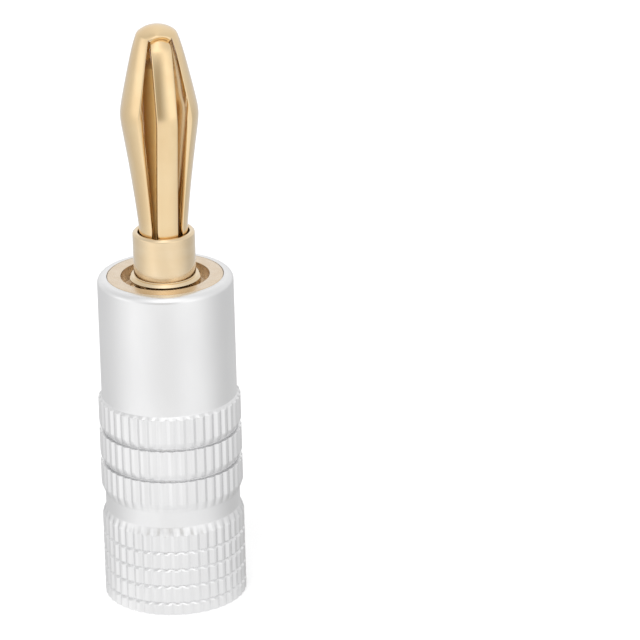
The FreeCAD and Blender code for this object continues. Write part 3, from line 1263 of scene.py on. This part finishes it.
    def build(self, material: Material) -> Object:
        """Build the strip from its sections and their mirror images.

        Args:
            material: Finish of the strip.

        Returns:
            The strip.
        """
        form, rings = self.kind.value, self.rings()
        rings += [ring * (-1, 1, 1) for ring in rings[-2::-1]]
        points, size = np.concatenate(rings), len(rings[0])
        if not self.wide:
            points = points[:, (1, 0, 2)] * (-1, 1, 1)
        faces = grid_faces(len(rings), size, False, True)
        faces += [tuple(range(size)), tuple(range(len(points) - size, len(points)))]
        piece = place_object(form.piece, clean(new_mesh(form.piece, points, faces), STRIP_CREASE_DEG))
        return settle(piece, Body.PIN, form.node, material)


# ---------------------------------------------------------------- studio


@dataclass
class Camera:
    """Camera at the photograph's viewing angle."""

    azimuth_deg: float = -13.5
    elevation_deg: float = 21.6
    distance: float = 0.42
    aim_right: float = 0.01118
    aim_height: float = 0.0210
    roll_deg: float = 1.47
    sensor: float = 36.0
    focal_px: float = 5754.0
    frame_px: float = 640.0
    clip: tuple[float, float] = (0.01, 10.0)

    def build(self) -> Object:
        """Make the camera and set it as the scene's.

        Returns:
            The camera.
        """
        a, e, roll = (math.radians(v) for v in (self.azimuth_deg, self.elevation_deg, self.roll_deg))
        right = Vector((math.cos(a), math.sin(a), 0))
        forward = Vector((-math.sin(a) * math.cos(e), math.cos(a) * math.cos(e), -math.sin(e)))
        up = right.cross(forward)
        data = bpy.data.cameras.new("photo_camera")
        data.sensor_width = self.sensor
        data.lens = self.focal_px / self.frame_px * self.sensor
        data.clip_start, data.clip_end = self.clip
        turned_right = right * math.cos(roll) - up * math.sin(roll)
        turned_up = right * math.sin(roll) + up * math.cos(roll)
        place = Matrix((turned_right, turned_up, -forward)).transposed().to_4x4()
        aim = right * self.aim_right + Vector((0, 0, self.aim_height))
        place.translation = aim - forward * self.distance
        camera = place_object("photo_camera", data)
        camera.matrix_world = place
        bpy.context.scene.camera = camera
        return camera


@dataclass(frozen=True)
class Lamp:
    """A soft rectangular lamp aimed at the plug; mirror rays don't see it."""

    name: str
    place: tuple[float, float, float]
    size: tuple[float, float]
    power: float
    aim: tuple[float, float, float] = (0.0, 0.0, 0.02)

    def build(self) -> Object:
        """Make the lamp.

        Returns:
            The lamp.
        """
        data = bpy.data.lights.new(self.name, "AREA")
        data.shape = "RECTANGLE"
        data.size, data.size_y = self.size
        data.energy = self.power
        lamp = place_object(self.name, data)
        lamp.location = self.place
        lamp.rotation_euler = (Vector(self.aim) - Vector(self.place)).to_track_quat("-Z", "Y").to_euler()
        lamp.visible_glossy = False
        return lamp


@dataclass
class Studio:
    """White table, pale surroundings and soft lamps.

    What the metal mirrors is set by turn around the plug, as reflector cards would do. The cards
    are pairs of a turn in degrees, 0 at the front and positive to the right, and a light level.
    """

    floor_half: float = 1600.0
    floor_albedo: float = 0.8
    floor_glow: float = 0.35
    world_level: float = 0.55
    front_deg: float = -103.5
    floor_cards: Pairs = (
        (-180, 0.70), (-136, 0.70), (-104, 0.74), (-80, 0.88), (-60, 1.07), (-42, 1.16), (-25, 1.07), (-8, 1.03),
        (8, 1.03), (24, 1.04), (41, 1.02), (59, 0.95), (79, 0.79), (101, 0.62), (131, 0.68), (180, 0.70),
    )
    room_cards: Pairs = (
        (-180, 0.86), (-150, 0.92), (-116, 0.76), (-97, 0.82), (-84, 1.25), (-60, 1.25), (-42, 0.88), (-20, 0.55),
        (0, 0.44), (13, 0.48), (32, 1.35), (46, 1.28), (62, 1.0), (80, 0.88), (110, 0.82), (145, 0.90), (180, 0.86),
    )
    overhead_cards: Pairs = (
        (-180, 1.0), (-140, 0.86), (-100, 0.74), (-60, 0.79), (-30, 1.13), (-5, 1.47), (20, 1.29), (50, 0.99),
        (90, 0.80), (130, 0.86), (180, 1.0),
    )
    level_scale: float = 2.0
    warm: Colour = (1.0, 0.88, 0.68)
    warm_levels: tuple[float, float] = (0.4, 0.62)
    # Painted shadow: the floor that the metal mirrors is darker close to the plug's foot.
    mirrored_foot_shadow: tuple[float, float, float] = (0.008, 0.045, 0.92)
    far_floor: tuple[float, float] = (0.07, 0.6)
    overhead_rise: tuple[float, float] = (0.08, 0.55)
    lamps: tuple[Lamp, ...] = (
        Lamp("key_softbox", (-0.35, -0.42, 0.55), (0.42, 0.42), 2.2),
        Lamp("fill_softbox", (0.55, -0.25, 0.35), (0.3, 0.4), 0.6),
        Lamp("top_softbox", (0.05, 0.2, 0.7), (0.5, 0.3), 1.2),
    )

    def build(self) -> None:
        """Make the floor, the world and the lamps."""
        self.floor()
        self.world()
        for lamp in self.lamps:
            lamp.build()
        bpy.context.scene.view_settings.view_transform = "Standard"

    def card_level(self, nodes: Nodes, place: NodeSocket, cards: Pairs) -> NodeSocket:
        """Light level of the cards at a place or in a direction.

        Args:
            nodes: Node tree to build in.
            place: Place from the axis, or direction.
            cards: Levels around the plug.

        Returns:
            The level's socket.
        """
        inputs = {"Vector": place, "Angle": -math.radians(self.front_deg)}
        turned = nodes.add("ShaderNodeVectorRotate", inputs, rotation_type="Z_AXIS")
        parts = nodes.node("ShaderNodeSeparateXYZ", {0: turned}).outputs
        angle = nodes.maths("ARCTAN2", parts["Y"], parts["X"])
        share = nodes.add("ShaderNodeMapRange", {"Value": angle, "From Min": -math.pi, "From Max": math.pi})
        ramp = nodes.node("ShaderNodeValToRGB", {0: share})
        ramp.color_ramp.interpolation = "B_SPLINE"
        stops = ramp.color_ramp.elements
        for number, (turn, level) in enumerate(cards):
            at = (turn + 180) / 360
            stop = stops[number] if number < 2 else stops.new(at)
            stop.position = at
            stop.color = (level / self.level_scale,) * 3 + (1.0,)
        return nodes.maths("MULTIPLY", ramp.outputs[0], self.level_scale)

    def mirrored(self, nodes: Nodes, kind: str, level: NodeSocket) -> NodeSocket:
        """Light of the cards; the dim ones are warm.

        Args:
            nodes: Node tree to build in.
            kind: Blender's name of the light's node.
            level: Light level of the cards.

        Returns:
            The light's socket.
        """
        low, high = self.warm_levels
        share = nodes.add("ShaderNodeMapRange", {"Value": level, "From Min": low, "From Max": high})
        return nodes.add(kind, {"Strength": level, "Color": nodes.mix(share, self.warm, WHITE)})

    def floor(self) -> Object:
        """Make the table top, which shows white and keeps the plug's shadow.

        Returns:
            The floor.
        """
        half = self.floor_half
        corners = [(-half, -half, 0), (half, -half, 0), (half, half, 0), (-half, half, 0)]
        floor = place_object("table_top", new_mesh("table_top", corners, [(0, 1, 2, 3)]))
        material = bpy.data.materials.new("white_table")
        material.use_nodes = True
        nodes = Nodes(material.node_tree)
        nodes.tree.nodes.clear()
        place = nodes.add("ShaderNodeTexCoord", {}, "Object")
        away = nodes.add("ShaderNodeVectorMath", {0: place}, "Value", operation="LENGTH")
        table, room = (self.card_level(nodes, place, cards) for cards in (self.floor_cards, self.room_cards))
        # Painted shadow: darken the mirrored floor close to the plug's foot.
        table = nodes.maths("MULTIPLY", table, nodes.rise(away, *self.mirrored_foot_shadow))
        level = nodes.mix(nodes.rise(away, *self.far_floor), table, room, "FLOAT")
        paint = nodes.add("ShaderNodeBsdfDiffuse", {"Color": (self.floor_albedo,) * 3})
        strength = nodes.maths("MULTIPLY", nodes.rays("Camera"), self.floor_glow)
        glow = nodes.add("ShaderNodeEmission", {"Strength": strength})
        seen = nodes.add("ShaderNodeAddShader", {0: paint, 1: glow})
        mirrored = self.mirrored(nodes, "ShaderNodeEmission", level)
        shader = nodes.add("ShaderNodeMixShader", {0: nodes.rays("Glossy"), 1: seen, 2: mirrored})
        nodes.node("ShaderNodeOutputMaterial", {"Surface": shader})
        floor.data.materials.append(material)
        return floor

    def world(self) -> bpy.types.World:
        """Make the surroundings: white where they are seen, cards where they are mirrored.

        Returns:
            The world.
        """
        world = bpy.data.worlds.new("studio")
        bpy.context.scene.world = world
        world.use_nodes = True
        nodes = Nodes(world.node_tree)
        nodes.tree.nodes.clear()
        direction = nodes.add("ShaderNodeTexCoord", {}, "Generated")
        height = nodes.add("ShaderNodeSeparateXYZ", {0: direction}, "Z")
        room, overhead = (self.card_level(nodes, direction, cards) for cards in (self.room_cards, self.overhead_cards))
        level = nodes.mix(nodes.rise(height, *self.overhead_rise), room, overhead, "FLOAT")
        seen, lighting = (
            nodes.add("ShaderNodeBackground", {"Color": WHITE, "Strength": strength})
            for strength in (1.0, self.world_level)
        )
        mirrored = self.mirrored(nodes, "ShaderNodeBackground", level)
        unseen = nodes.add("ShaderNodeMixShader", {0: nodes.rays("Glossy"), 1: lighting, 2: mirrored})
        shader = nodes.add("ShaderNodeMixShader", {0: nodes.rays("Camera"), 1: unseen, 2: seen})
        nodes.node("ShaderNodeOutputWorld", {"Surface": shader})
        return world


def main() -> None:
    """Build the plug, then its studio."""
    logging.basicConfig(level=logging.INFO, format="%(message)s")
    Camera().build()
    barrel = KnurledBarrel()
    barrel.build(SatinSilver().build(barrel.knurls(), barrel.seams()))
    turned = GoldPlate("gold_turned", light=(0.85, 0.69, 0.47), deep=(0.80, 0.61, 0.37), lines=9000.0,
                       line_depth=0.0000015)
    ring = GoldPlate("gold_ring", light=(0.81, 0.675, 0.515), deep=(0.75, 0.585, 0.40), drift_size=0.0007,
                     low_roughness=0.2, high_roughness=0.32)
    polished = GoldPlate("gold_leaf", lines=2500.0, line_depth=0.0000004, line_tone=0.15, speck_share=0.2,
                         low_roughness=0.15, high_roughness=0.24)
    # The post is gold, but its saturated orange and large scattering share are partly painted reflection, standing in
    # for light bouncing between the leaves and the post.
    post_painted_reflection = GoldPlate("gold_post_painted_reflection", light=(1.0, 0.68, 0.27), deep=(0.95, 0.58, 0.18), metallic=0.3, coat=0.2,
                    low_roughness=0.4, high_roughness=0.5)
    ThreadedSleeve().build(ring.build())
    PinBody().build(turned.build())
    CentrePost().build(post_painted_reflection.build())
    leaf_gold = polished.build()
    SpringStrip(Strip.WIDE).build(leaf_gold)
    SpringStrip(Strip.NARROW).build(leaf_gold)
    Studio().build()


if __name__ == "__main__":
    main()
